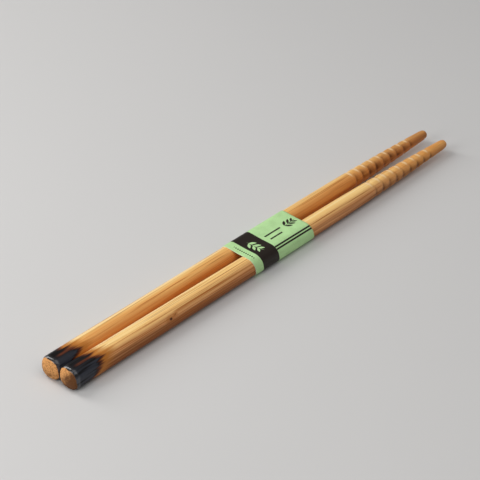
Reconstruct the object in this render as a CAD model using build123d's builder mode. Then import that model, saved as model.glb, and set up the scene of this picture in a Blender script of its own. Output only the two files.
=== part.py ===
"""A pair of bamboo chopsticks lying side by side in a printed paper band.

Millimetres, +Z up. X runs along the sticks from the handle ends to the tips, the origin is on the
surface that the pair lies on, under the middle of its length, and stations are measured along a
stick from its handle end.
"""
import os
from math import sqrt

from build123d import *

# Stick: a square handle with rounded corners that tapers slowly, then curves in to a slim round tip
stick_length = 225.0
handle_width = 9.63  # across the flats at the handle end
handle_flat = 2.0  # flat stretch of each side between its rounded corners, at the handle end
shoulder_station = 155.0  # where the straight taper ends and the sides curve in
shoulder_width = 7.6
shoulder_flat = 1.2
tip_width = 3.6
tip_flat = 0.3
end_dome_radius = 10.0  # crown of the handle end
end_dome_sweep = 60.0  # degrees of that crown, enough to reach past the corners
end_edge_radius = 1.2  # soft edge round the handle end
tip_dome_margin = 0.2  # how far the round of the tip stands outside its corners

# Rings cut round the stick before its tip, so that food doesn't slip
ring_count = 9
ring_pitch = 4.4
ring_to_tip = 11.7  # from the last ring to the end of the tip
ring_depth = 0.4
ring_width = 2.0  # of the V that each ring is cut to

# Lie of the pair: the handles touch and the tips stand a little apart
handle_gap = 0.1
tip_gap = 7.05  # clear width between the two tips

# Paper band: one strip round both sticks, closed by a glued lap on the underside
band_station = 102.5  # edge nearest the handle ends
band_length = 35.4
paper_thickness = 0.2
paper_clearance = 0.05
lap_width = 5.4  # the strip's inner end, tucked into the valley between the sticks
lap_step = 0.4  # the stretch in which the strip steps down beside its other end


def blend(start, end, share):
    """The value part of the way from start to end."""
    return start + (end - start) * share


def curve_share(station):
    """How far the sides have curved in: 0 at the shoulder, 1 at the tip."""
    reach = max(station - shoulder_station, 0.0) / (stick_length - shoulder_station)
    return reach * reach


def width_at(station):
    """Width across the flats: a straight taper, less the inward curve past the shoulder."""
    straight_tip = blend(handle_width, shoulder_width, stick_length / shoulder_station)
    straight = blend(handle_width, shoulder_width, station / shoulder_station)
    return straight - (straight_tip - tip_width) * curve_share(station)


def flat_at(station):
    """Flat stretch of each side, which nearly vanishes where the stick turns round."""
    if station <= shoulder_station:
        return blend(handle_flat, shoulder_flat, station / shoulder_station)
    past = (station - shoulder_station) / (stick_length - shoulder_station)
    return blend(shoulder_flat, tip_flat, past)


def corner_at(station):
    """Radius of the rounded corners, which take what the flats leave of each side."""
    return (width_at(station) - flat_at(station)) / 2


def ring_stations():
    """The middles of the rings, counted back from the tip."""
    return [stick_length - ring_to_tip - ring_pitch * index for index in range(ring_count)]


def ring_cut_at(station):
    """How deep the rings are cut: a V all round the section, deepest in the middle of each ring."""
    reach = min(abs(station - ring) for ring in ring_stations())
    return ring_depth * max(1 - reach / (ring_width / 2), 0)


def section_stations():
    """Where a stick's form changes: its ends, its shoulder, and the edges and middle of each ring."""
    stations = {0, shoulder_station, stick_length}
    for ring in ring_stations():
        stations |= {ring - ring_width / 2, ring, ring + ring_width / 2}
    return sorted(stations)


def spacing_at(station):
    """Distance between the two sticks' axes."""
    return blend(handle_width + handle_gap, tip_width + tip_gap, station / stick_length)


def axis_height_at(station):
    """Height of a stick's axis: the handle end lies on the surface, the shaft on the band's paper."""
    at_handle = handle_width / 2
    at_band = width_at(band_station) / 2 + paper_clearance + paper_thickness
    return blend(at_handle, at_band, station / band_station)


def axis_point(station, side):
    """Point on the axis of the stick on the +Y side (1) or the -Y side (-1) of the pair."""
    return Vector(station - stick_length / 2, side * spacing_at(station) / 2, axis_height_at(station))


def make_chopstick(label, side):
    """One stick: a body lofted through its rings, domed at the handle end and rounded at the tip."""
    handle_end = axis_point(0, side)
    along = (axis_point(stick_length, side) - handle_end).normalized()
    across = Vector(-along.Y, along.X, 0)
    cross_plane = Plane(origin=handle_end, x_dir=across, z_dir=along)
    length_plane = Plane(origin=handle_end, x_dir=along, z_dir=across)
    axis = Axis(handle_end, along)
    tip_half_diagonal = corner_at(stick_length) + tip_flat / 2 * sqrt(2)
    tip_dome_radius = tip_half_diagonal + tip_dome_margin
    with BuildPart() as stick:
        for station in section_stations():
            cut = ring_cut_at(station)
            width = width_at(station) - 2 * cut
            with BuildSketch(cross_plane.offset(station)):
                RectangleRounded(width, width, corner_at(station) - cut)
        loft(ruled=True)
        with BuildSketch(length_plane):
            with BuildLine():
                crown = CenterArc((end_dome_radius, 0), end_dome_radius, 180, -end_dome_sweep)
                nose = CenterArc((stick_length - tip_dome_radius, 0), tip_dome_radius, 90, -90)
                Polyline(crown @ 1, ((nose @ 0).X, (crown @ 1).Y), nose @ 0)
                Line(nose @ 1, crown @ 0)
            make_face()
        revolve(axis=axis, mode=Mode.INTERSECT)
        fillet(stick.faces().sort_by(axis)[0].edges(), end_edge_radius)
    stick.part.label = label
    export_step(stick.part, f"parts/{label}.step")


os.makedirs("parts", exist_ok=True)
make_chopstick("left_chopstick", 1)
make_chopstick("right_chopstick", -1)

# The band is a straight sleeve with its underside flat on the surface, tight on the sticks at its wider end
paper_reach = paper_clearance + paper_thickness
band_edges = (band_station, band_station + band_length)
band_breadth = max(spacing_at(edge) + width_at(edge) for edge in band_edges) + 2 * paper_reach
band_height = max(axis_height_at(edge) + width_at(edge) / 2 for edge in band_edges) + paper_reach
band_corner = corner_at(band_station) + paper_reach
lap_edge = -lap_width / 2
with BuildPart() as paper_band:
    with BuildSketch(Plane.YZ.offset(band_station - stick_length / 2)):
        with Locations((0, band_height / 2)):
            RectangleRounded(band_breadth, band_height, band_corner)
            RectangleRounded(
                band_breadth - 2 * paper_thickness,
                band_height - 2 * paper_thickness,
                band_corner - paper_thickness,
                mode=Mode.SUBTRACT,
            )
        with Locations((-lap_step / 2, paper_thickness * 3 / 2)):
            Rectangle(lap_width + lap_step, paper_thickness)
        with BuildLine():
            Polyline((lap_edge, 0), (lap_edge, paper_thickness), (lap_edge - lap_step, 0), close=True)
        make_face(mode=Mode.SUBTRACT)
    extrude(amount=band_length)
paper_band.part.label = "paper_band"
export_step(paper_band.part, "parts/paper_band.step")
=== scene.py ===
"""Dresses a packed pair of bamboo chopsticks: two carved sticks, a paper band and a plain stage.

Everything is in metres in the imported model's frame: X runs along the sticks from the handle ends to the
tips, +Z is up, and a station is a distance along a stick from its handle end.
"""
import math

import bpy
import numpy as np
from bpy.props import FloatProperty, FloatVectorProperty, IntProperty, PointerProperty
from bpy.types import NodeSocket, Operator, Panel, PropertyGroup
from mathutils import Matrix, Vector


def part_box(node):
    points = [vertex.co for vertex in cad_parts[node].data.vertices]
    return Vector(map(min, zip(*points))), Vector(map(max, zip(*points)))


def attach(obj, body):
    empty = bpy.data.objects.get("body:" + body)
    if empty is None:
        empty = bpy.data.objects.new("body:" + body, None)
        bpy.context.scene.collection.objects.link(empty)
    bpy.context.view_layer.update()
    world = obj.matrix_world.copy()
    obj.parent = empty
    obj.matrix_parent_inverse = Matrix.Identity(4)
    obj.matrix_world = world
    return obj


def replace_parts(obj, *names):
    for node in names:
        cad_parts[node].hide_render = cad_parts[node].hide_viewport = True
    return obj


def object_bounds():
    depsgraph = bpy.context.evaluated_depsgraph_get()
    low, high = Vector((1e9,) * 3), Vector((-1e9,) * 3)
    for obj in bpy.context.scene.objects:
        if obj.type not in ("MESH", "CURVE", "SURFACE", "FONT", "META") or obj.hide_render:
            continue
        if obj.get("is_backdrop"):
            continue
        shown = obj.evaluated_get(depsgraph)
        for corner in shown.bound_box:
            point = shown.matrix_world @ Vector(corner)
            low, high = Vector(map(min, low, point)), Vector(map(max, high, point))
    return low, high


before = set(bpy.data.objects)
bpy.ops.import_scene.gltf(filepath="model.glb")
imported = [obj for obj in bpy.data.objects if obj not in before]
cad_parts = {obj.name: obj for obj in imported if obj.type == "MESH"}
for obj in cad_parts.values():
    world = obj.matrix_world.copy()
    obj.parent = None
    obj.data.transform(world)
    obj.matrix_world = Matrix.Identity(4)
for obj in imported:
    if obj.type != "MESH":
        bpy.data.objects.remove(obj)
CAD_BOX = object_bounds()
BAND_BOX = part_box("paper_band")

bl_info = {
    "name": "Bamboo Chopsticks",
    "version": (1, 0, 0),
    "blender": (4, 5, 0),
    "location": "3D View > Sidebar > Chopsticks",
    "description": "Carves a pair of bamboo chopsticks, wraps their paper band and lights them",
    "category": "Object",
}

MM = 0.001
BODY = "root"
# Which side of the pair each stick lies on, the seed that its small irregularities are drawn from, and the
# angle in degrees round it, from +Y over the top, of the side away from the key lamp where shade is painted
# on its ringed tip
STICK_SIDES = {"left_chopstick": (1, 11, 152), "right_chopstick": (-1, 23, 182)}
# How strong that painted shade is, by the station in millimetres
RING_FRONT_SHADE = ((165, 0.0), (185, 0.36), (205, 0.36), (215, 0.28))
# Angles in degrees at which highlights are painted on the rings' tops and shade is painted in their valleys
# at the back
GLINT_SIDE = 86
BACK_SIDE = 340
# How far the char runs along each stick in millimetres, by the angle in degrees round it
CHAR_REACH = {
    "left_chopstick": (
        (0, 9.0), (45, 8.2), (67, 8.5), (88, 10.6), (100, 8.6), (113, 11.0), (128, 13.8), (141, 10.2),
        (160, 9.0), (180, 10.0), (225, 9.0), (270, 8.0), (315, 9.0),
    ),
    "right_chopstick": (
        (0, 10.0), (45, 9.4), (70, 10.8), (85, 14.8), (101, 10.3), (112, 12.5), (125, 15.3), (149, 14.5),
        (165, 12.5), (193, 11.2), (225, 10.0), (270, 9.0), (315, 8.0),
    ),
}
# Thin dark lines along the top of the left stick in millimetres: place across, start, end, strength
GRAIN_LINES = (
    (-1.3, 44.0, 82.0, 0.80), (-1.75, 38.0, 66.0, 0.45), (-0.5, 76.0, 102.0, 0.55),
    (-1.9, 84.0, 104.0, 0.70), (-2.4, 12.0, 40.0, 0.40), (0.6, 20.0, 48.0, 0.30),
    (-1.0, 140.0, 176.0, 0.55),
)
# Knots of the right stick in millimetres: place along, across and up, and size as a share
KNOTS = ((54.6, -4.2, 2.1, 1.2), (57.4, -3.9, 2.9, 0.5))
# Printed leaves in millimetres and degrees: place along the band and round it, turn, length, width
PALE_SPRIG = (
    (8.1, 2.6, -84, 9.4, 0.45),
    (8.1, 1.4, -40, 3.5, 1.35), (8.1, 1.3, -128, 3.5, 1.35),
    (8.3, -1.0, -42, 3.5, 1.35), (8.3, -1.1, -126, 3.5, 1.35),
    (8.5, -3.3, -46, 3.1, 1.2), (8.5, -3.4, -122, 3.1, 1.2),
)
DARK_SPRIG = (
    (26.6, -0.9, 4, 7.8, 0.40),
    (27.2, -0.8, 46, 3.7, 1.3), (27.3, -0.8, -40, 3.7, 1.3),
    (29.3, -0.7, 44, 3.4, 1.2), (29.4, -0.7, -38, 3.4, 1.2),
    (31.3, -0.6, 40, 2.8, 1.05), (31.4, -0.6, -34, 2.8, 1.05),
)
# Printed bars in millimetres: start and end along the band, place round it
BARS = ((16.0, 25.2, -0.3), (16.4, 23.4, -3.2))
# Half the width in which a printed edge turns from one ink to the other
PRINT_EDGE = 0.05 * MM
# Lamps in metres: place from the middle of the pair, width and height
LAMPS = {
    "key": ((-0.15, 0.55, 0.45), (0.25, 0.68)),
    "top": ((-0.10, -0.25, 0.70), (0.80, 0.80)),
    "side": ((-0.62, 0.12, 0.36), (0.40, 0.40)),
}
# Sockets of the node groups that carry a vector or a colour, while all others carry a value
VECTOR_SOCKETS = ("Grain", "Place", "Brown side", "Soil side")
COLOUR_SOCKETS = ("Colour", "Light", "Dark", "Deep", "Wood", "Handled", "Below", "Ink")
FLOOR_HALF = 3.0
SENSOR_WIDTH = 36.0


def length_setting(name, description, default):
    """A distance that a user may change, with its default in millimetres."""
    return FloatProperty(
        name=name, description=description, default=default * MM, min=0.0, unit="LENGTH", precision=5
    )


def colour_setting(name, description, default):
    """A colour that a user may change, in linear light."""
    return FloatVectorProperty(
        name=name, description=description, default=default, size=3, min=0.0, max=1.0, subtype="COLOR"
    )


def strength_setting(name, description, default):
    """A strength of light that a user may change."""
    return FloatProperty(name=name, description=description, default=default, min=0.0)


def angle_setting(name, description, degrees):
    """An angle that a user may change."""
    return FloatProperty(name=name, description=description, default=math.radians(degrees), subtype="ANGLE")


class StickSizes(PropertyGroup):
    """Sizes that both sticks are carved to."""

    length: length_setting("Length", "From the handle end to the tip", 225.0)
    handle_width: length_setting("Handle width", "Across the flats at the handle end", 9.63)
    handle_flat: length_setting("Handle flat", "Flat stretch of each side at the handle end", 2.0)
    shoulder_station: length_setting("Shoulder", "Station where the sides begin to curve in", 155.0)
    shoulder_width: length_setting("Shoulder width", "Across the flats at the shoulder", 7.6)
    shoulder_flat: length_setting("Shoulder flat", "Flat stretch of each side at the shoulder", 1.2)
    tip_width: length_setting("Tip width", "Across the flats at the tip", 3.6)
    tip_flat: length_setting("Tip flat", "Flat stretch of each side at the tip", 0.3)
    tip_round: length_setting("Tip round", "Radius of the rounded tip", 2.06)
    end_dome: length_setting("End dome", "Radius of the crown of the handle end", 10.0)
    end_edge: length_setting("End edge", "Radius of the soft edge round the handle end", 1.2)
    handle_gap: length_setting("Handle gap", "Clear width between the two handle ends", 0.1)
    tip_gap: length_setting("Tip gap", "Clear width between the two tips", 7.05)
    paper_reach: length_setting("Paper under the shaft", "Paper and clearance under each stick", 0.25)
    ring_count: IntProperty(name="Rings", description="Rings cut before each tip", default=9, min=1)
    ring_pitch: length_setting("Ring pitch", "Distance between neighbouring rings", 4.4)
    ring_to_tip: length_setting("Ring to tip", "From the last ring to the end of the tip", 11.7)
    ring_depth: length_setting("Ring depth", "Depth of a ring before its edges wore down", 0.4)
    ring_width: length_setting("Ring width", "Width of the V that each ring is cut to", 2.0)
    ring_stray: length_setting("Ring stray", "How far a ring strays from its even place", 0.16)
    hand_wave: length_setting("Hand wave", "Depth of the shallow waves left by sanding", 0.035)


class BambooFinish(PropertyGroup):
    """Colours of the bamboo and of its scorched handle ends, with painted shade, sheen and highlights among
    them.
    """

    honey_light: colour_setting("Honey light", "Pale fibres of the left stick", (0.84, 0.485, 0.155))
    honey_dark: colour_setting("Honey dark", "Dark fibres of the left stick", (0.70, 0.285, 0.075))
    # Painted shade: the reddest tone darkens the left stick's side away from the key lamp
    honey_shade: colour_setting("Honey deep", "Reddest side of the left stick", (0.54, 0.155, 0.028))
    pale_light: colour_setting("Pale light", "Pale fibres of the right stick", (0.92, 0.595, 0.215))
    pale_dark: colour_setting("Pale dark", "Dark fibres of the right stick", (0.68, 0.305, 0.118))
    # Painted shade: the brownest tone darkens the right stick's lower front, away from the key lamp
    pale_shade: colour_setting("Pale deep", "Brownest side of the right stick", (0.245, 0.074, 0.013))
    honey_tip: colour_setting("Honey tip", "Handled tip of the left stick", (0.52, 0.222, 0.072))
    pale_tip: colour_setting("Pale tip", "Handled tip of the right stick", (0.70, 0.275, 0.058))
    # Painted sheen: the palest tone lightens each stick's side that faces the key lamp
    lit_sheen: colour_setting("Gleam", "Palest fibres, on the side that is worn smooth", (0.97, 0.755, 0.395))
    streak: colour_setting("Streak", "Thin dark fibre bundles", (0.40, 0.118, 0.020))
    char: colour_setting("Char", "Burnt black of the handle ends", (0.006, 0.005, 0.005))
    # Painted reflection: a grey-blue sheen on the char's front side
    char_sheen: colour_setting("Ash", "Grey streaks in the char", (0.038, 0.041, 0.053))
    ember: colour_setting("Ember", "Dark red brown beside the char", (0.115, 0.030, 0.012))
    singe: colour_setting("Singe", "Orange brown where the burn fades", (0.46, 0.165, 0.028))
    end_grain: colour_setting("End grain", "Sanded wood of the domed ends", (0.74, 0.355, 0.120))
    # Painted shade: darkens the domed ends towards their lower side, away from the light
    end_shade: colour_setting("End soil", "Darkened lower side of the domed ends", (0.10, 0.034, 0.010))
    end_speck: colour_setting("End speck", "Fibre bundles cut across in the domed ends", (0.20, 0.070, 0.020))
    # Painted highlight: the pale tone on the rings' edges that face the key lamp
    crest: colour_setting("Ring crest", "Worn edges of the rings", (0.95, 0.66, 0.36))
    # Painted shade: the brown in the ring valleys and along the ringed tip's front
    valley: colour_setting("Ring valley", "Brown that has settled in the rings", (0.15, 0.050, 0.015))
    knot: colour_setting("Knot", "Dark spot where a twig grew", (0.045, 0.014, 0.008))


class BandLook(PropertyGroup):
    """Sizes and inks of the paper band."""

    thickness: length_setting("Paper thickness", "Thickness of the paper", 0.2)
    lap_width: length_setting("Lap", "The strip's inner end, under its outer end", 5.4)
    lap_step: length_setting("Lap step", "Stretch in which the strip steps down at the lap", 0.4)
    sag: length_setting("Sag", "How far the paper dips between the sticks", 0.12)
    near_inset: length_setting("Near inset", "From the packed band's near edge to the paper's", 0.48)
    skew: length_setting("Skew", "How far the left side strays towards the tips", 0.2)
    lean: length_setting("Lean", "How far the underside lies ahead of the top", 1.8)
    strip_length: length_setting("Near strip", "Length of the pale strip at the handle side", 4.55)
    block_length: length_setting("Dark block", "Length of the dark field after the strip", 9.45)
    line_width: length_setting("Line width", "Width of the two thin lines", 0.70)
    upper_line: length_setting("Upper line", "From the top middle round to the upper line", 7.77)
    lower_line: length_setting("Lower line", "From the top middle round to the lower line", 8.93)
    green: colour_setting("Green", "Printed green", (0.49, 0.76, 0.355))
    ink: colour_setting("Ink", "Printed brown black", (0.018, 0.011, 0.007))
    core: colour_setting("Paper", "Unprinted paper at the cut edges and inside", (0.80, 0.80, 0.72))


class StageLook(PropertyGroup):
    """Camera, lamps and floor."""

    azimuth: angle_setting("Azimuth", "Camera's bearing", -47.774)
    elevation: angle_setting("Elevation", "Camera's height angle", 34.77)
    distance: length_setting("Distance", "From the camera to its target", 1812.0)
    target: FloatVectorProperty(
        name="Target", description="Point in the middle of the picture",
        default=(0.00733, 0.01375, 0.0), subtype="TRANSLATION",
    )
    lens: FloatProperty(name="Lens", description="Focal length in millimetres", default=337.5, min=1.0)
    floor: colour_setting("Floor", "Plain pale floor", (0.62, 0.61, 0.60))
    key_power: strength_setting("Key", "Watts of the lamp behind and above", 3.0)
    top_power: strength_setting("Top", "Watts of the lamp overhead", 2.4)
    side_power: strength_setting("Side", "Watts of the lamp at the handle side", 1.7)
    sky: strength_setting("Sky", "Strength of the even light all round", 0.2)


# Shapes of the sticks


def width_at(sizes, station):
    """Width across the flats: a straight taper, less the inward curve past the shoulder."""
    slope = (sizes.shoulder_width - sizes.handle_width) / sizes.shoulder_station
    straight_tip = sizes.handle_width + slope * sizes.length
    past = (station - sizes.shoulder_station) / (sizes.length - sizes.shoulder_station)
    curve = (straight_tip - sizes.tip_width) * np.clip(past, 0, 1) ** 2
    return sizes.handle_width + slope * station - curve


def flat_at(sizes, station):
    """Flat stretch of each side, which nearly vanishes towards the tip."""
    stations = (0, sizes.shoulder_station, sizes.length)
    return np.interp(station, stations, (sizes.handle_flat, sizes.shoulder_flat, sizes.tip_flat))


def stick_axes(sizes, node):
    """A stick's handle point and its directions along, across and up."""
    side = STICK_SIDES[node][0]
    band_station = BAND_BOX[0].x + sizes.length / 2
    handle_height = sizes.handle_width / 2
    band_height = float(width_at(sizes, band_station)) / 2 + sizes.paper_reach
    drop = (band_height - handle_height) / band_station
    handle_spacing = sizes.handle_width + sizes.handle_gap
    tip_spacing = sizes.tip_width + sizes.tip_gap
    spread = side * (tip_spacing - handle_spacing) / 2 / sizes.length
    start = Vector((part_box(node)[0].x, side * handle_spacing / 2, handle_height))
    along = Vector((1, spread, drop)).normalized()
    across = Vector((-along.y, along.x, 0)).normalized()
    return start, along, across, along.cross(across)


def square_outline(corner_steps=14, flat_steps=4):
    """A square with rounded corners as arrays of anchors and normals: half the flat times an anchor, plus
    the corner radius times its normal, is a point on the outline."""
    anchors, normals = [], []
    for quarter in range(4):
        middle = (quarter + 0.5) * math.pi / 2
        corner = np.sign((math.cos(middle), math.sin(middle)))
        following = np.sign((math.cos(middle + math.pi / 2), math.sin(middle + math.pi / 2)))
        for step in range(corner_steps + 1):
            turn = (quarter + step / corner_steps) * math.pi / 2
            anchors.append(corner)
            normals.append((math.cos(turn), math.sin(turn)))
        for step in range(1, flat_steps):
            anchors.append(corner + (following - corner) * step / flat_steps)
            normals.append(normals[-1])
    return np.array(anchors), np.array(normals)


def section(sizes, outline, station, inset):
    """A stick's outline at a station, set in from the true form."""
    anchors, normals = outline
    flat = flat_at(sizes, station) / 2
    return flat * anchors + (width_at(sizes, station) / 2 - flat - inset) * normals


def edge_section(sizes, outline, inset):
    """A stick's outline where the soft edge of its handle end begins, set in from the true form."""
    return section(sizes, outline, 2 * sizes.end_edge, inset)


def facing(round_stick, angle, power):
    """How far each point round a stick faces an angle in degrees, from 0 to 1 and narrowed by a power."""
    return (0.5 + 0.5 * np.cos(round_stick - math.radians(angle))) ** power


def ring_cut(sizes, station, turn, draw):
    """How far the rings cut in as soft Vs, each a little out of true, and where highlights are painted on the
    edges in front of them.
    """
    softness, blunting, farthest = 0.25, 0.12, 4
    shallowest, deepest = 0.55, 0.85
    glint_place, glint_width = -1.3, 0.8
    cut, glint = np.zeros_like(station), np.zeros_like(station)
    for index in range(sizes.ring_count):
        middle = sizes.length - sizes.ring_to_tip - sizes.ring_pitch * index
        middle += draw.normal(0, sizes.ring_stray)
        lean = draw.normal(0, sizes.ring_stray) * np.cos(turn - draw.uniform(0, 2 * math.pi))
        depth = sizes.ring_depth * draw.uniform(shallowest, deepest)
        offset = np.clip((station - middle - lean) / (sizes.ring_width / 2), -farthest, farthest)
        valley = softness * np.log1p(np.exp((1 - np.sqrt(offset**2 + blunting)) / softness))
        cut = np.maximum(cut, depth * np.clip(valley, 0, 1))
        glint = np.maximum(glint, np.exp(-(((offset - glint_place) / glint_width) ** 2)))
    return cut, glint


def sanding_wave(sizes, station, turn, draw):
    """Shallow hollows that hand sanding leaves, never proud of the true form."""
    shortest, longest = 20 * MM, 70 * MM
    lobe_counts = (1, 2, 3, 4)
    wave = np.zeros_like(station)
    for lobes in lobe_counts:
        length = draw.uniform(shortest, longest)
        wave += np.sin(2 * math.pi * station / length + lobes * turn + draw.uniform(0, 2 * math.pi))
    return sizes.hand_wave * (1 + wave / len(lobe_counts)) / 2


def shaft_stations(sizes):
    """Stations of the rows between the handle's soft edge and the round of the tip, closest in the rings."""
    shaft_step, ring_step, tip_step, tip_margin = 1.0 * MM, 0.14 * MM, 0.5 * MM, 0.2 * MM
    first = 2.9 * sizes.end_edge
    last_ring = sizes.length - sizes.ring_to_tip
    ring_margin = 0.7 * sizes.ring_pitch
    ring_start = last_ring - sizes.ring_pitch * (sizes.ring_count - 1) - ring_margin
    ring_end = last_ring + ring_margin
    shaft = np.arange(first, ring_start, shaft_step)
    ringed = np.arange(ring_start, ring_end, ring_step)
    plain = np.arange(ring_end, sizes.length - sizes.tip_round - tip_margin, tip_step)
    return np.concatenate((shaft, ringed, plain))


def surface_row(along, points, shade, end):
    """One row round a stick: place along, across and up, shade of the rings, share of the end face."""
    across, up = points.T
    values = (along, across, up, shade, end)
    return np.column_stack([np.broadcast_to(value, len(points)) for value in values])


def end_rows(sizes, outline, round_stick):
    """Rows of the crowned handle end and of its soft edge."""
    crown_steps, edge_steps = 9, 12
    bare_tilt, bare_turn = 0.3, math.radians(30)

    def dome(points):
        """Depth of the crowned end under points of the section."""
        return sizes.end_dome - np.sqrt(sizes.end_dome**2 - (points**2).sum(-1))

    crown = edge_section(sizes, outline, sizes.end_edge)
    for share in np.linspace(0.08, 0.92, crown_steps):
        yield surface_row(dome(crown * share), crown * share, 0, 1)
    # The bare wood stops short of the top edge and runs over the lower one
    bare_lean = bare_tilt * np.sin(round_stick - bare_turn)
    for edge_turn in np.linspace(math.pi / 2, 0, edge_steps):
        points = edge_section(sizes, outline, sizes.end_edge * (1 - math.cos(edge_turn)))
        depth = sizes.end_edge * (1 - math.sin(edge_turn))
        yield surface_row(dome(points) + depth, points, 0, edge_turn / (math.pi / 2) - bare_lean)


def shaft_rows(sizes, outline, round_stick, front, draw):
    """Rows of the shaft and its rings, with painted shade at their front and back and painted highlights on
    their tops.
    """
    all_round, at_front, at_back = 0.1, 0.4, 0.8
    normals = outline[1]
    stations = shaft_stations(sizes)
    grid = np.meshgrid(stations, np.arctan2(normals[:, 1], normals[:, 0]), indexing="ij")
    cut, glint = ring_cut(sizes, *grid, draw)
    inset = cut + sanding_wave(sizes, *grid, draw)
    body = section(sizes, outline, stations[:, None, None], inset[..., None])
    # Painted shade in the ring valleys, most at the front and back, and along the front of the ringed tip
    front_shade = np.interp(stations / MM, *np.array(RING_FRONT_SHADE).T)
    brown = all_round + at_front * front + at_back * facing(round_stick, BACK_SIDE, 3)
    shades = cut / sizes.ring_depth * brown + front_shade[:, None] * front**2
    # Painted highlights on the rings' edges that face the key lamp
    shades -= glint * facing(round_stick, GLINT_SIDE, 5)
    for station, points, shade in zip(stations, body, shades):
        yield surface_row(station, points, shade, -1)


def nose_rows(sizes, outline, front):
    """Rows of the rounded tip, where the section and a ball blend into each other."""
    nose_steps, sharpness = 14, 9.0
    for nose_turn in np.linspace(0.06, 0.97, nose_steps) * math.pi / 2:
        station = sizes.length - sizes.tip_round * (1 - math.sin(nose_turn))
        points = section(sizes, outline, station, sizes.hand_wave / 2)
        reach = np.linalg.norm(points, axis=1)
        limit = sizes.tip_round * math.cos(nose_turn)
        kept = (reach**-sharpness + limit**-sharpness) ** (-1 / sharpness)
        # The painted shade along the front of the ringed tip runs on over the rounded tip
        yield surface_row(station, points * (kept / reach)[:, None], RING_FRONT_SHADE[-1][1] * front**2, -1)


def stick_surface(sizes, node):
    """A stick in its own straight frame, as rows of points with their shades and shares of the end face, and
    the angle round the stick of each point in a row."""
    _, seed, shaded_side = STICK_SIDES[node]
    outline = square_outline()
    crown = edge_section(sizes, outline, sizes.end_edge)
    round_stick = np.arctan2(crown[:, 1], crown[:, 0])
    front = facing(round_stick, shaded_side, 3)
    rows = (
        *end_rows(sizes, outline, round_stick),
        *shaft_rows(sizes, outline, round_stick, front, np.random.default_rng(seed)),
        *nose_rows(sizes, outline, front),
    )
    return np.array(rows), np.degrees(round_stick)


def closed_tube(rows, around):
    """Faces of a tube whose first and last points are the poles that close it."""
    faces = [(0, 1 + (step + 1) % around, 1 + step) for step in range(around)]
    for row in range(rows - 1):
        base = 1 + row * around
        for step in range(around):
            following = (step + 1) % around
            faces.append((base + step, base + following, base + around + following, base + around + step))
    base = 1 + (rows - 1) * around
    pole = base + around
    faces += [(pole, base + step, base + (step + 1) % around) for step in range(around)]
    return faces


def add_to_scene(name, data):
    """A new object in the scene."""
    made = bpy.data.objects.new(name, data)
    bpy.context.scene.collection.objects.link(made)
    return made


def make_piece(name, points, faces, attributes, materials):
    """A smooth mesh object with point attributes, riding on the pair's body."""
    mesh = bpy.data.meshes.new(name)
    mesh.from_pydata([tuple(point) for point in points], [], faces)
    for key, values in attributes.items():
        kind, value_name = ("FLOAT_VECTOR", "vector") if values.ndim == 2 else ("FLOAT", "value")
        made = mesh.attributes.new(key, kind, "POINT")
        made.data.foreach_set(value_name, values.astype(np.float32).ravel())
    for material in materials:
        mesh.materials.append(material)
    mesh.shade_smooth()
    if mesh.validate():
        raise RuntimeError(f"{name}: the mesh has faces that Blender had to mend")
    piece = add_to_scene(name, mesh)
    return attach(piece, BODY)


def carve_stick(node, material, sizes):
    """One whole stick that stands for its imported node."""
    surface, round_stick = stick_surface(sizes, node)
    rows, around = surface.shape[:2]
    grain = np.vstack(((0.0, 0.0, 0.0), surface[..., :3].reshape(-1, 3), (sizes.length, 0.0, 0.0)))
    start, *directions = stick_axes(sizes, node)
    points = np.array(start) + grain @ np.array(directions)
    angles, reaches = np.array(CHAR_REACH[node]).T
    reach = np.interp(round_stick, angles, reaches, period=360) * MM
    attributes = {
        "grain": grain,
        "char_reach": np.concatenate(((0.0,), np.tile(reach, rows), (0.0,))),
        # The rings' painted shade, and below zero their painted highlights
        "valley": np.concatenate(((0.0,), surface[..., 3].ravel(), (0.0,))),
        "end_face": np.concatenate(((1.0,), surface[..., 4].ravel(), (-1.0,))),
    }
    stick = make_piece(node + "_carved", points, closed_tube(rows, around), attributes, [material])
    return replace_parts(stick, node)


# Shape of the band


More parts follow.
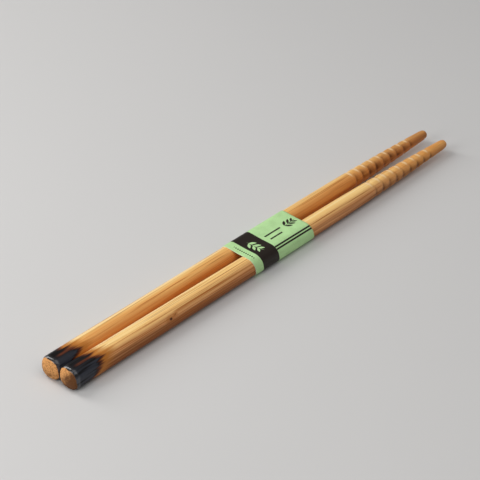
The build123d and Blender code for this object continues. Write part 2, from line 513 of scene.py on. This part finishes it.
def strip_path(look, sizes, place):
    """The paper strip's middle line across the sticks at one place along X, from its tucked end round to its
    glued end, as points and outward normals."""
    lap_steps, lower_steps, side_steps, top_steps, glued_steps, corner_steps = 12, 6, 4, 24, 16, 14
    half = look.thickness / 2
    station = place + sizes.length / 2
    along = stick_axes(sizes, "left_chopstick")[1]
    width = float(width_at(sizes, station))
    side = (sizes.handle_width + sizes.handle_gap) / 2 + station * along.y / along.x
    wide = side + width / 2 + sizes.paper_reach
    high = sizes.handle_width / 2 + station * along.z / along.x + width / 2 + sizes.paper_reach
    reach = (width - float(flat_at(sizes, station))) / 2 + sizes.paper_reach
    lap = look.lap_width / 2
    left, right, down, up = (-1.0, 0.0), (1.0, 0.0), (0.0, -1.0), (0.0, 1.0)
    points = [(across, half * 3) for across in np.linspace(lap, -lap, lap_steps)]
    points.append((-lap - look.lap_step, half))
    normals = [down] * len(points)

    def run(start, end, normal, steps):
        for share in np.linspace(0, 1, steps, endpoint=False):
            points.append((start[0] + (end[0] - start[0]) * share, start[1] + (end[1] - start[1]) * share))
            normals.append(normal)

    def turn_corner(centre, first_turn):
        for share in np.linspace(0, 1, corner_steps, endpoint=False):
            angle = first_turn - share * math.pi / 2
            normal = (math.cos(angle), math.sin(angle))
            points.append((centre[0] + (reach - half) * normal[0], centre[1] + (reach - half) * normal[1]))
            normals.append(normal)

    run((-lap - 1.5 * look.lap_step, half), (reach - wide, half), down, lower_steps)
    turn_corner((reach - wide, reach), -math.pi / 2)
    run((half - wide, reach), (half - wide, high - reach), left, side_steps)
    turn_corner((reach - wide, high - reach), math.pi)
    run((reach - wide, high - half), (wide - reach, high - half), up, top_steps)
    turn_corner((wide - reach, high - reach), math.pi / 2)
    run((wide - half, high - reach), (wide - half, reach), right, side_steps)
    turn_corner((wide - reach, reach), 0.0)
    run((wide - reach, half), (-lap, half), down, glued_steps)
    points.append((-lap, half))
    normals.append(down)
    return np.array(points), np.array(normals)


def strip_row(look, sizes, place, start):
    """One row of the paper at a place along X: outer points, inner points and their places in print."""
    level = 1e-7
    path, normals = strip_path(look, sizes, place)
    steps = np.linalg.norm(np.diff(path, axis=0), axis=1)
    top = np.abs(path[:, 1] - path[:, 1].max()) < level
    half_top = np.abs(path[top, 0]).max()
    girth = np.concatenate(((0.0,), np.cumsum(steps)))
    girth -= np.interp(0.0, path[top, 0], girth[top])
    path[top, 1] -= look.sag * np.cos(path[top, 0] / half_top * math.pi / 2) ** 2
    wide, high = path.max(axis=0)
    slide = look.skew * path[:, 0] / wide + look.lean * (1 - path[:, 1] / high)
    half = normals * look.thickness / 2
    outer, inner = (np.column_stack((place + slide, sheet)) for sheet in (path + half, path - half))
    return outer, inner, np.column_stack((np.full_like(girth, place - start), girth, np.zeros_like(girth)))


def strip_faces(rows, count):
    """Faces of the printed sheet, and faces of the plain sheet with the cut edges between the two."""
    sheet = rows * count
    corners = np.arange(sheet).reshape(rows, count).tolist()
    printed, plain = [], []
    for near, far in zip(corners, corners[1:]):
        for column in range(count - 1):
            quad = (near[column], near[column + 1], far[column + 1], far[column])
            printed.append(quad[::-1])
            plain.append(tuple(sheet + corner for corner in quad))
    # Both sides of the strip, then its tucked end and its glued end
    edges = (corners[0], corners[-1][::-1], [row[0] for row in corners][::-1], [row[-1] for row in corners])
    for edge in edges:
        plain += [(first, second, sheet + second, sheet + first) for first, second in zip(edge, edge[1:])]
    return printed, plain


def wrap_band_mesh(look, sizes, materials):
    """The paper strip with its printed face, plain back and cut edges."""
    row_count = 61
    places = np.linspace(BAND_BOX[0].x + look.near_inset, BAND_BOX[1].x, row_count)
    rows = [strip_row(look, sizes, place, places[0]) for place in places]
    outer, inner, prints = (np.concatenate(sheet) for sheet in zip(*rows))
    printed, plain = strip_faces(row_count, len(outer) // row_count)
    attributes = {"print_place": np.concatenate((prints, prints))}
    points = np.concatenate((outer, inner))
    band = make_piece("paper_band_wrapped", points, printed + plain, attributes, materials)
    band.data.polygons.foreach_set("material_index", [0] * len(printed) + [1] * len(plain))
    band.data.update()
    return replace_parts(band, "paper_band")


# Wiring of materials


def feed(made, feeds):
    """Gives a node's inputs values, or links to other nodes' sockets."""
    for key, value in feeds.items():
        socket = made.inputs[key]
        if isinstance(value, NodeSocket):
            made.id_data.links.new(value, socket)
        else:
            socket.default_value = (*value, 1.0) if socket.type == "RGBA" else value


def add_node(kind, feeds, **options):
    """Adds a node to the tree that its feeds come from, sets its options and feeds its inputs."""
    tree = next(value.id_data for value in feeds.values() if isinstance(value, NodeSocket))
    made = tree.nodes.new(kind)
    for key, value in options.items():
        setattr(made, key, value)
    feed(made, feeds)
    return made


def calculate(operation, *values):
    """The result of one sum."""
    return add_node("ShaderNodeMath", dict(enumerate(values)), operation=operation).outputs[0]


def calculate_vector(operation, *values):
    """The result of one sum of vectors, a number for a length or a dot product."""
    made = add_node("ShaderNodeVectorMath", dict(enumerate(values)), operation=operation)
    return made.outputs["Value" if operation in ("LENGTH", "DOT_PRODUCT") else "Vector"]


def combine(operation, values):
    """One sum carried through several values."""
    whole, *others = values
    for value in others:
        whole = calculate(operation, whole, value)
    return whole


def product(*values):
    """Several masks or values multiplied."""
    return combine("MULTIPLY", values)


def rest_of(share):
    """What a share leaves of the whole."""
    return calculate("SUBTRACT", 1.0, share)


def distance(value, middle):
    """How far a value is from a middle."""
    return calculate("ABSOLUTE", calculate("SUBTRACT", value, middle))


def stray(value, noise, amount):
    """A value moved to both sides by a noise, within an amount."""
    return calculate("MULTIPLY_ADD", calculate("SUBTRACT", noise, 0.5), amount, value)


def split(vector):
    """The three numbers of a vector."""
    return add_node("ShaderNodeSeparateXYZ", {0: vector}).outputs


def remap(value, start, end, to_start=0.0, to_end=1.0):
    """A value eased from one range to another and held at both ends."""
    feeds = {"Value": value, "From Min": start, "From Max": end, "To Min": to_start, "To Max": to_end}
    return add_node("ShaderNodeMapRange", feeds, interpolation_type="SMOOTHSTEP").outputs[0]


def mix_colours(share, first, second, blend="MIX"):
    """One colour laid over another by a share."""
    feeds = {0: share, 6: first, 7: second}
    return add_node("ShaderNodeMix", feeds, data_type="RGBA", blend_type=blend).outputs[2]


def stretched_noise(vector, scale, seed, detail=2.0, roughness=0.55):
    """Noise in a space stretched by a scale for each direction."""
    place = calculate_vector("MULTIPLY", vector, scale)
    feeds = {"Vector": place, "W": seed, "Scale": 1.0, "Detail": detail, "Roughness": roughness}
    return add_node("ShaderNodeTexNoise", feeds, noise_dimensions="4D").outputs[0]


def grain_noise(grain, seed, along, across, detail=2.0, roughness=0.55):
    """Noise drawn out along a stick, by its waves in a metre along and across it."""
    return stretched_noise(grain, (along, across, across), seed, detail, roughness)


def colour_steps(value, steps):
    """A run of colours along a value, as (place, colour) steps."""
    ramp = add_node("ShaderNodeValToRGB", {0: value})
    elements = ramp.color_ramp.elements
    while len(elements) < len(steps):
        elements.new(1.0)
    for element, (place, colour) in zip(elements, steps):
        element.position = place
        element.color = (*colour, 1.0)
    return ramp.outputs[0]


def new_group(name, inputs, outputs):
    """An empty shader node group with named sockets: the group, its input sockets and its output node."""
    group = bpy.data.node_groups.new(name, "ShaderNodeTree")
    for side, sockets in (("INPUT", inputs), ("OUTPUT", outputs)):
        for key in sockets:
            kind = "Vector" if key in VECTOR_SOCKETS else "Color" if key in COLOUR_SOCKETS else "Float"
            group.interface.new_socket(name=key, in_out=side, socket_type=f"NodeSocket{kind}")
    return group, group.nodes.new("NodeGroupInput").outputs, group.nodes.new("NodeGroupOutput")


def place_group(group, feeds):
    """The output sockets of a group placed in a material with its own values."""
    return add_node("ShaderNodeGroup", feeds, node_tree=group).outputs


def new_material(name):
    """An empty material with its shader and its output joined."""
    material = bpy.data.materials.new(name)
    material.use_nodes = True
    tree = material.node_tree
    tree.nodes.clear()
    shader = tree.nodes.new("ShaderNodeBsdfPrincipled")
    add_node("ShaderNodeOutputMaterial", {0: shader.outputs[0]})
    return material, tree, shader


def attribute(tree, name, output):
    """A mesh attribute's socket."""
    made = tree.nodes.new("ShaderNodeAttribute")
    made.attribute_name = name
    return made.outputs[output]


def bump(height, strength, depth):
    """A normal that shows a height."""
    feeds = {"Strength": strength, "Distance": depth, "Height": height}
    return add_node("ShaderNodeBump", feeds).outputs[0]


# Effects, each a node group that a material places with its own values


def fibre_group(finish):
    """Bamboo fibre: broad bands, fine fibres and thin dark bundles along the stick, with painted shade and
    sheen.
    """
    group, given, result = new_group(
        "bamboo_fibre", ("Grain", "Light", "Dark", "Deep", "Brown side", "Seed"), ("Colour", "Height")
    )
    grain, seed = given["Grain"], given["Seed"]
    palest_lean = -0.30
    bands = grain_noise(grain, seed, along=6.0, across=460.0)
    fibres = grain_noise(grain, seed, along=16.0, across=1500.0, detail=3.0, roughness=0.62)
    bundle_seed = calculate("ADD", seed, 3.0)
    bundles = grain_noise(grain, bundle_seed, along=9.0, across=1700.0, roughness=0.7)
    # Painted shade and sheen: the tone rises towards the shaded side and falls, down to the palest lean,
    # towards the lit side
    lean = calculate_vector("DOT_PRODUCT", grain, given["Brown side"])
    tone = calculate("MULTIPLY_ADD", bands, 0.5, product(fibres, 0.5))
    tone = calculate("ADD", tone, calculate("MAXIMUM", lean, palest_lean))
    wood = mix_colours(remap(tone, 0.22, 0.72), given["Light"], given["Dark"])
    # Painted shade: the shade tone where the tone is highest, on the shaded side
    wood = mix_colours(remap(tone, 0.63, 0.88), wood, given["Deep"])
    # Painted sheen on the lit side, where the tone is lowest
    wood = mix_colours(remap(tone, 0.36, 0.10, 0.0, 0.85), wood, finish.lit_sheen)
    streaks = remap(bundles, 0.54, 0.68, 0.0, 0.8)
    wood = mix_colours(streaks, wood, finish.streak)
    feed(result, {"Colour": wood, "Height": calculate("SUBTRACT", fibres, streaks)})
    return group


def line_group(finish):
    """One thin dark line along the upper side of a stick, which wanders a little and fades at both ends."""
    group, given, result = new_group(
        "grain_line", ("Grain", "Across", "Start", "End", "Strength", "Wood"), ("Colour",)
    )
    grain, start, end = given["Grain"], given["Start"], given["End"]
    core, edge, fade, upper_side = 0.06 * MM, 0.34 * MM, 9.0 * MM, 1.5 * MM
    station, across, height = split(grain)
    wander = grain_noise(grain, start, along=60.0, across=0.0, detail=1.0)
    off = distance(across, stray(given["Across"], wander, 0.6 * MM))
    mask = product(
        remap(off, core, edge, 1.0, 0.0),
        remap(calculate("SUBTRACT", station, start), 0.0, fade),
        remap(calculate("SUBTRACT", end, station), 0.0, fade),
        remap(height, 0.0, upper_side),
        given["Strength"],
    )
    feed(result, {"Colour": mix_colours(mask, given["Wood"], finish.streak)})
    return group


def knot_group(finish):
    """A knot: a small dark spot with a brown shadow, and fibres disturbed for some way past it."""
    group, given, result = new_group("knot_mark", ("Grain", "Place", "Size", "Wood"), ("Colour",))
    grain, size = given["Grain"], given["Size"]
    off = calculate_vector("SUBTRACT", grain, given["Place"])
    past = split(off)[0]
    beside = calculate_vector("LENGTH", calculate_vector("MULTIPLY", off, (0.0, 1.0, 1.0)))
    lines = grain_noise(grain, 7.0, along=7.0, across=2300.0, roughness=0.6)
    tail = product(
        remap(lines, 0.44, 0.60, 0.0, 0.75),
        remap(past, 0.5 * MM, 5.0 * MM),
        remap(past, 70.0 * MM, 25.0 * MM),
        remap(beside, 3.6 * MM, 1.4 * MM),
        size,
    )
    colour = mix_colours(tail, given["Wood"], finish.streak)
    wobble = grain_noise(grain, 2.0, along=900.0, across=900.0)
    # How far each spot shrinks along and across, its edge, its strength and its colour
    spots = (
        ((260.0, 520.0, 520.0), 1.0, 0.55, finish.streak),
        ((900.0, 1250.0, 1250.0), 0.85, 0.97, finish.knot),
    )
    for shrink, edge, strength, spot in spots:
        reach = calculate_vector("LENGTH", calculate_vector("MULTIPLY", off, shrink))
        reach = stray(calculate("DIVIDE", reach, size), wobble, 0.9)
        colour = mix_colours(remap(reach, edge / 4, edge, strength, 0.0), colour, spot)
    feed(result, {"Colour": colour})
    return group


def scorch_group(finish):
    """A burnt handle end: char in flame-shaped fingers with a red seam and a painted sheen on its front side,
    fading through orange into wood.
    """
    group, given, result = new_group(
        "scorched_end", ("Grain", "Reach", "Seam", "Wood", "Seed"), ("Colour", "Char")
    )
    grain, seed = given["Grain"], given["Seed"]
    finger_length = fray_length = 7.0 * MM
    burn_start, burn_end = -4.0 * MM, 12.0 * MM
    station, across, height = split(grain)
    fingers = grain_noise(grain, seed, along=60.0, across=900.0, detail=1.0)
    frays = grain_noise(grain, seed, along=80.0, across=2600.0)
    reach = stray(stray(given["Reach"], fingers, finger_length), frays, fray_length)
    beyond = calculate("SUBTRACT", station, reach)
    feeds = {"Value": beyond, "From Min": burn_start, "From Max": burn_end}
    share = add_node("ShaderNodeMapRange", feeds).outputs[0]
    burn = colour_steps(share, (
        (0.0, finish.char), (0.19, finish.char), (0.31, finish.ember),
        (0.45, finish.singe), (1.0, finish.singe),
    ))
    # Painted reflection: grey-blue sheen on the char, strongest towards the front side
    sheen_share = product(
        remap(fingers, 0.36, 0.60),
        remap(share, 0.12, 0.24, 1.0, 0.0),
        remap(across, -1.0 * MM, -4.2 * MM, 0.12, 1.0),
    )
    burn = mix_colours(sheen_share, burn, finish.char_sheen)
    off = stray(distance(across, given["Seam"]), fingers, 0.9 * MM)
    seam = product(
        remap(off, 0.15 * MM, 0.95 * MM, 0.95, 0.0),
        remap(station, 3.0 * MM, 6.5 * MM),
        remap(station, 16.0 * MM, 11.0 * MM),
        remap(height, 0.0, 2.0 * MM),
        remap(frays, 0.30, 0.52, 0.25, 1.0),
    )
    burn = mix_colours(seam, burn, finish.ember)
    feed(result, {
        "Colour": mix_colours(remap(share, 0.47, 0.94), burn, given["Wood"]),
        "Char": remap(share, 0.22, 0.38, 1.0, 0.0),
    })
    return group


def end_group(finish):
    """The sanded handle end: wood with fibre bundles cut across as specks and painted shade towards one side,
    bare inside its edge.
    """
    group, given, result = new_group(
        "sanded_end", ("Grain", "End", "Below", "Soil", "Soil side", "Seed"), ("Colour", "Bare", "Rim")
    )
    grain, seed, end = given["Grain"], given["Seed"], given["End"]
    specks = grain_noise(grain, seed, along=300.0, across=1900.0, roughness=0.7)
    stains = grain_noise(grain, seed, along=200.0, across=520.0)
    dark_side = calculate_vector("DOT_PRODUCT", grain, given["Soil side"])
    # Painted shade: the end darkens towards its unlit side, spread unevenly by the stains noise
    end_shading = combine("ADD", (stains, given["Soil"], dark_side))
    speckled = remap(specks, 0.46, 0.66, 0.0, 0.7)
    wood = mix_colours(speckled, finish.end_grain, finish.end_speck)
    wood = mix_colours(remap(end_shading, 0.40, 1.0, 0.0, 0.93), wood, finish.end_shade)
    bare = remap(stray(end, stains, 0.4), 0.34, 0.50)
    feed(result, {
        "Colour": mix_colours(bare, given["Below"], wood),
        "Bare": bare,
        "Rim": product(remap(end, -0.8, -0.45), rest_of(bare)),
    })
    return group


def ring_group(finish):
    """Ringed tip: painted shade in the valleys, painted highlights on the lands and a handled tone towards
    the tip.
    """
    group, given, result = new_group(
        "ring_shade", ("Grain", "Valley", "Wood", "Handled", "Seed"), ("Colour",)
    )
    grain, valley = given["Grain"], given["Valley"]
    handled_start, handled_full = 172.0 * MM, 200.0 * MM
    patches = grain_noise(grain, given["Seed"], along=160.0, across=500.0)
    towards_tip = remap(split(grain)[0], handled_start, handled_full)
    handled = product(towards_tip, remap(patches, 0.3, 0.65, 0.4, 0.75))
    wood = mix_colours(handled, given["Wood"], given["Handled"])
    # Painted highlight on the lands, where the ring shade falls below zero
    wood = mix_colours(remap(valley, -0.15, -0.8, 0.0, 0.8), wood, finish.crest)
    # Painted shade in the ring valleys and along the front
    brown = product(remap(valley, 0.06, 0.62), remap(patches, 0.25, 0.6, 0.45, 1.0))
    feed(result, {"Colour": mix_colours(brown, wood, finish.valley)})
    return group


def paper_group():
    """Paper: faint cloud and fibre in a colour, with a height for bump."""
    group, given, result = new_group("paper_tooth", ("Place", "Ink"), ("Colour", "Height"))
    place, ink = given["Place"], given["Ink"]
    dulling = (0.86, 0.87, 0.85)
    clouds = stretched_noise(place, (260.0, 260.0, 260.0), seed=3.0, detail=3.0)
    tooth = stretched_noise(place, (2400.0, 3600.0, 3000.0), seed=5.0)
    shade = calculate("ADD", product(clouds, 0.6), product(tooth, 0.4))
    dull = mix_colours(1.0, ink, dulling, "MULTIPLY")
    feed(result, {
        "Colour": mix_colours(remap(shade, 0.4, 0.65), ink, dull),
        "Height": tooth,
    })
    return group


def leaf_group():
    """One printed leaf: a pointed oval at a place on the band, turned and sized."""
    group, given, result = new_group(
        "leaf_mark", ("Place", "Along", "Round", "Turn", "Length", "Width"), ("Mask",)
    )
    place_along, place_round, _ = split(given["Place"])
    along = calculate("SUBTRACT", place_along, given["Along"])
    across = calculate("SUBTRACT", place_round, given["Round"])
    cosine = calculate("COSINE", given["Turn"])
    sine = calculate("SINE", given["Turn"])
    leaf_along = calculate("ADD", product(along, cosine), product(across, sine))
    leaf_across = calculate("SUBTRACT", product(across, cosine), product(along, sine))
    reach = calculate("DIVIDE", leaf_along, given["Length"])
    reach = add_node("ShaderNodeClamp", {"Value": reach}).outputs[0]
    swell = calculate("SINE", product(reach, math.pi))
    limit = product(swell, given["Width"], 0.5)
    margin = calculate("SUBTRACT", limit, calculate("ABSOLUTE", leaf_across))
    feed(result, {"Mask": remap(margin, 0.0, 0.06 * MM)})
    return group


# Materials


def bamboo_material(name, groups, tones, shaded_side, end_shading, end_shading_side, seam, seed, lines=(), knots=()):
    """A stick's bamboo: fibre, grain lines, knots, rings, scorched end and sanded end face."""
    material, tree, shader = new_material(name)
    light, dark, shade_tone, tip = tones
    grain = attribute(tree, "grain", "Vector")
    fibre = place_group(groups["fibre"], {
        "Grain": grain, "Light": light, "Dark": dark, "Deep": shade_tone, "Brown side": shaded_side, "Seed": seed,
    })
    wood = fibre["Colour"]
    for across, start, end, strength in lines:
        wood = place_group(groups["line"], {
            "Grain": grain, "Across": across * MM, "Start": start * MM, "End": end * MM,
            "Strength": strength, "Wood": wood,
        })["Colour"]
    for *place, size in knots:
        wood = place_group(groups["knot"], {
            "Grain": grain, "Place": Vector(place) * MM, "Size": size, "Wood": wood,
        })["Colour"]
    ringed = place_group(groups["ring"], {
        "Grain": grain, "Valley": attribute(tree, "valley", "Fac"), "Wood": wood,
        "Handled": tip, "Seed": seed,
    })
    scorched = place_group(groups["scorch"], {
        "Grain": grain, "Reach": attribute(tree, "char_reach", "Fac"), "Seam": seam,
        "Wood": ringed["Colour"], "Seed": seed,
    })
    sanded = place_group(groups["end"], {
        "Grain": grain, "End": attribute(tree, "end_face", "Fac"), "Below": scorched["Colour"],
        "Soil": end_shading, "Soil side": end_shading_side, "Seed": seed,
    })
    wood_roughness, char_roughness, bare_roughness = 0.42, 0.36, 0.2
    char = product(scorched["Char"], rest_of(sanded["Bare"]))
    covered = remap(char, 0.0, 1.0, wood_roughness, char_roughness)
    height = product(fibre["Height"], rest_of(sanded["Rim"]))
    feed(shader, {
        "Base Color": sanded["Colour"],
        "Roughness": calculate("MULTIPLY_ADD", sanded["Bare"], bare_roughness, covered),
        "Normal": bump(height, strength=0.35, depth=0.05 * MM),
        "Coat Weight": sanded["Rim"],
        "Coat Roughness": 0.14,
        "Specular IOR Level": 0.14,
    })
    return material


def leaf_marks(group, place, leaves):
    """The leaves of a sprig as one mask."""
    return combine("MAXIMUM", [
        place_group(group, {
            "Place": place, "Along": along * MM, "Round": girth * MM, "Turn": math.radians(turn),
            "Length": length * MM, "Width": width * MM,
        })["Mask"]
        for along, girth, turn, length, width in leaves
    ])


def field(value, start, end):
    """A crisp mask of a value between two edges."""
    past_start = remap(value, start - PRINT_EDGE, start + PRINT_EDGE)
    return product(past_start, remap(value, end - PRINT_EDGE, end + PRINT_EDGE, 1.0, 0.0))


def lozenge_row(along, girth, middle):
    """A row of lozenges round the band, as a mask."""
    pitch, half_size, edge = 1.1 * MM, 0.45 * MM, 0.04 * MM
    row_start, row_end = -7.15 * MM, 3.85 * MM
    fold = calculate("PINGPONG", girth, pitch)
    inside = calculate("SUBTRACT", half_size, distance(fold, pitch / 2))
    inside = calculate("SUBTRACT", inside, distance(along, middle))
    return product(remap(inside, -edge, edge), field(girth, row_start, row_end))


def printed_paper(look, groups):
    """The band's printed face: green fields, a dark block, thin lines, bars, a row of lozenges and sprigs."""
    material, tree, shader = new_material("printed_paper")
    place = attribute(tree, "print_place", "Vector")
    along, girth, _ = split(place)
    half_line, half_bar = look.line_width / 2, 0.4 * MM
    block_end = look.strip_length + look.block_length
    past_block = remap(along, block_end - PRINT_EDGE, block_end + PRINT_EDGE)
    masks = [field(along, look.strip_length, block_end)]
    for line in (look.upper_line, look.lower_line):
        masks.append(product(field(girth, -line - half_line, -line + half_line), past_block))
    for start, end, middle in BARS:
        bar = field(girth, middle * MM - half_bar, middle * MM + half_bar)
        masks.append(product(field(along, start * MM, end * MM), bar))
    masks.append(lozenge_row(along, girth, look.strip_length / 2))
    masks.append(leaf_marks(groups["leaf"], place, DARK_SPRIG))
    pale_leaves = leaf_marks(groups["leaf"], place, PALE_SPRIG)
    dark = product(combine("MAXIMUM", masks), rest_of(pale_leaves))
    ink = mix_colours(dark, look.green, look.ink)
    tooth = place_group(groups["paper"], {"Place": place, "Ink": ink})
    pale_roughness, dark_roughness = 0.60, 0.50
    feed(shader, {
        "Base Color": tooth["Colour"],
        "Roughness": remap(dark, 0.0, 1.0, pale_roughness, dark_roughness),
        "Normal": bump(tooth["Height"], strength=0.15, depth=0.03 * MM),
        "Specular IOR Level": 0.3,
    })
    return material


def plain_paper(look, groups):
    """Unprinted paper of the band's back and cut edges."""
    material, tree, shader = new_material("plain_paper")
    place = attribute(tree, "print_place", "Vector")
    tooth = place_group(groups["paper"], {"Place": place, "Ink": look.core})
    feed(shader, {"Base Color": tooth["Colour"], "Roughness": 0.8})
    return material


def floor_material(look):
    """Plain pale floor with a faint unevenness."""
    material, tree, shader = new_material("pale_floor")
    grey = (0.5, 0.5, 0.5)
    place = tree.nodes.new("ShaderNodeTexCoord").outputs["Object"]
    cloud = stretched_noise(place, (6.0, 6.0, 6.0), seed=1.0, detail=3.0)
    colour = mix_colours(remap(cloud, 0.3, 0.7, 0.0, 0.06), look.floor, grey)
    feed(shader, {"Base Color": colour, "Roughness": 0.7})
    return material


# Stage


def aim(thing, place, target):
    """Puts a lamp or the camera at a place, looking at a target."""
    thing.location = place
    thing.rotation_euler = (target - place).to_track_quat("-Z", "Y").to_euler()


def lay_floor(look):
    """A plain square floor under the pair."""
    half = FLOOR_HALF
    mesh = bpy.data.meshes.new("floor")
    corners = [(-half, -half, 0), (half, -half, 0), (half, half, 0), (-half, half, 0)]
    mesh.from_pydata(corners, [], [(0, 1, 2, 3)])
    mesh.materials.append(floor_material(look))
    floor = add_to_scene("floor", mesh)
    floor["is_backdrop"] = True


def add_lamp(name, place, target, size, power):
    """A soft lamp of a width and a height."""
    light = bpy.data.lights.new(name, "AREA")
    light.shape = "RECTANGLE"
    light.size, light.size_y = size
    light.energy = power
    aim(add_to_scene(name, light), place, target)


def light_world(look):
    """Even white light all round."""
    world = bpy.data.worlds.new("studio")
    bpy.context.scene.world = world
    world.use_nodes = True
    background = world.node_tree.nodes["Background"]
    feed(background, {"Color": (1.0, 1.0, 1.0), "Strength": look.sky})


def set_camera(look):
    """The camera at its bearing, height angle and distance."""
    camera = add_to_scene("camera", bpy.data.cameras.new("camera"))
    camera.data.lens = look.lens
    camera.data.sensor_width = SENSOR_WIDTH
    camera.data.clip_start = 10 * MM
    level = math.cos(look.elevation)
    back = Vector((
        math.sin(look.azimuth) * level, -math.cos(look.azimuth) * level, math.sin(look.elevation),
    ))
    target = Vector(look.target)
    aim(camera, target + back * look.distance, target)
    bpy.context.scene.camera = camera


# Operators and panel


class CHOPSTICKS_OT_carve_sticks(Operator):
    """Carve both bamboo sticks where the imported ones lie"""

    bl_idname = "chopsticks.carve_sticks"
    bl_label = "Carve Sticks"

    def execute(self, context):
        sizes, finish = context.scene.chopstick_sizes, context.scene.chopstick_finish
        groups = {
            "fibre": fibre_group(finish), "line": line_group(finish), "knot": knot_group(finish),
            "ring": ring_group(finish), "scorch": scorch_group(finish), "end": end_group(finish),
        }
        honey = bamboo_material(
            "honey_bamboo", groups,
            tones=(finish.honey_light, finish.honey_dark, finish.honey_shade, finish.honey_tip),
            shaded_side=(0.0, -85.0, -20.0), end_shading=0.02, end_shading_side=(0.0, 15.0, -50.0),
            seam=-1.1 * MM, seed=1.7, lines=GRAIN_LINES,
        )
        pale = bamboo_material(
            "pale_bamboo", groups,
            tones=(finish.pale_light, finish.pale_dark, finish.pale_shade, finish.pale_tip),
            shaded_side=(0.0, -60.0, -45.0), end_shading=0.36, end_shading_side=(0.0, -125.0, -80.0),
            seam=-0.8 * MM, seed=5.2, knots=KNOTS,
        )
        carve_stick("left_chopstick", honey, sizes)
        carve_stick("right_chopstick", pale, sizes)
        return {"FINISHED"}


class CHOPSTICKS_OT_wrap_band(Operator):
    """Wrap the printed paper band round both sticks"""

    bl_idname = "chopsticks.wrap_band"
    bl_label = "Wrap Band"

    def execute(self, context):
        look, sizes = context.scene.chopstick_band, context.scene.chopstick_sizes
        groups = {"paper": paper_group(), "leaf": leaf_group()}
        band = wrap_band_mesh(look, sizes, [printed_paper(look, groups), plain_paper(look, groups)])
        return {"FINISHED"}


class CHOPSTICKS_OT_set_stage(Operator):
    """Lay the floor and set the lamps and the camera"""

    bl_idname = "chopsticks.set_stage"
    bl_label = "Set Stage"

    def execute(self, context):
        look = context.scene.chopstick_stage
        context.scene.view_settings.view_transform = "Standard"
        lay_floor(look)
        middle = (CAD_BOX[0] + CAD_BOX[1]) / 2
        for name, (offset, size) in LAMPS.items():
            power = getattr(look, f"{name}_power")
            add_lamp(f"{name}_lamp", middle + Vector(offset), middle, size, power)
        light_world(look)
        set_camera(look)
        return {"FINISHED"}


class CHOPSTICKS_PT_panel(Panel):
    """Settings of the pair and the operators that make it"""

    bl_idname = "CHOPSTICKS_PT_panel"
    bl_label = "Chopsticks"
    bl_space_type = "VIEW_3D"
    bl_region_type = "UI"
    bl_category = "Chopsticks"

    def draw(self, context):
        for step, settings in STEPS:
            box = self.layout.box()
            for key in settings:
                group = getattr(context.scene, key)
                for prop in group.__annotations__:
                    box.prop(group, prop)
            box.operator(step.bl_idname)


STEPS = (
    (CHOPSTICKS_OT_carve_sticks, ("chopstick_sizes", "chopstick_finish")),
    (CHOPSTICKS_OT_wrap_band, ("chopstick_band",)),
    (CHOPSTICKS_OT_set_stage, ("chopstick_stage",)),
)
SETTINGS = {
    "chopstick_sizes": StickSizes,
    "chopstick_finish": BambooFinish,
    "chopstick_band": BandLook,
    "chopstick_stage": StageLook,
}
CLASSES = (*SETTINGS.values(), *(step for step, _ in STEPS), CHOPSTICKS_PT_panel)


def register():
    for cls in CLASSES:
        bpy.utils.register_class(cls)
    for key, group in SETTINGS.items():
        setattr(bpy.types.Scene, key, PointerProperty(type=group))


def unregister():
    for key in SETTINGS:
        delattr(bpy.types.Scene, key)
    for cls in reversed(CLASSES):
        bpy.utils.unregister_class(cls)


def main():
    register()
    bpy.ops.chopsticks.carve_sticks()
    bpy.ops.chopsticks.wrap_band()
    bpy.ops.chopsticks.set_stage()
    bpy.context.view_layer.update()
    boxes = {"cad": CAD_BOX, "visual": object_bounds()}
    {key: [list(corner) for corner in box] for key, box in boxes.items()}


if __name__ == "__main__":
    main()
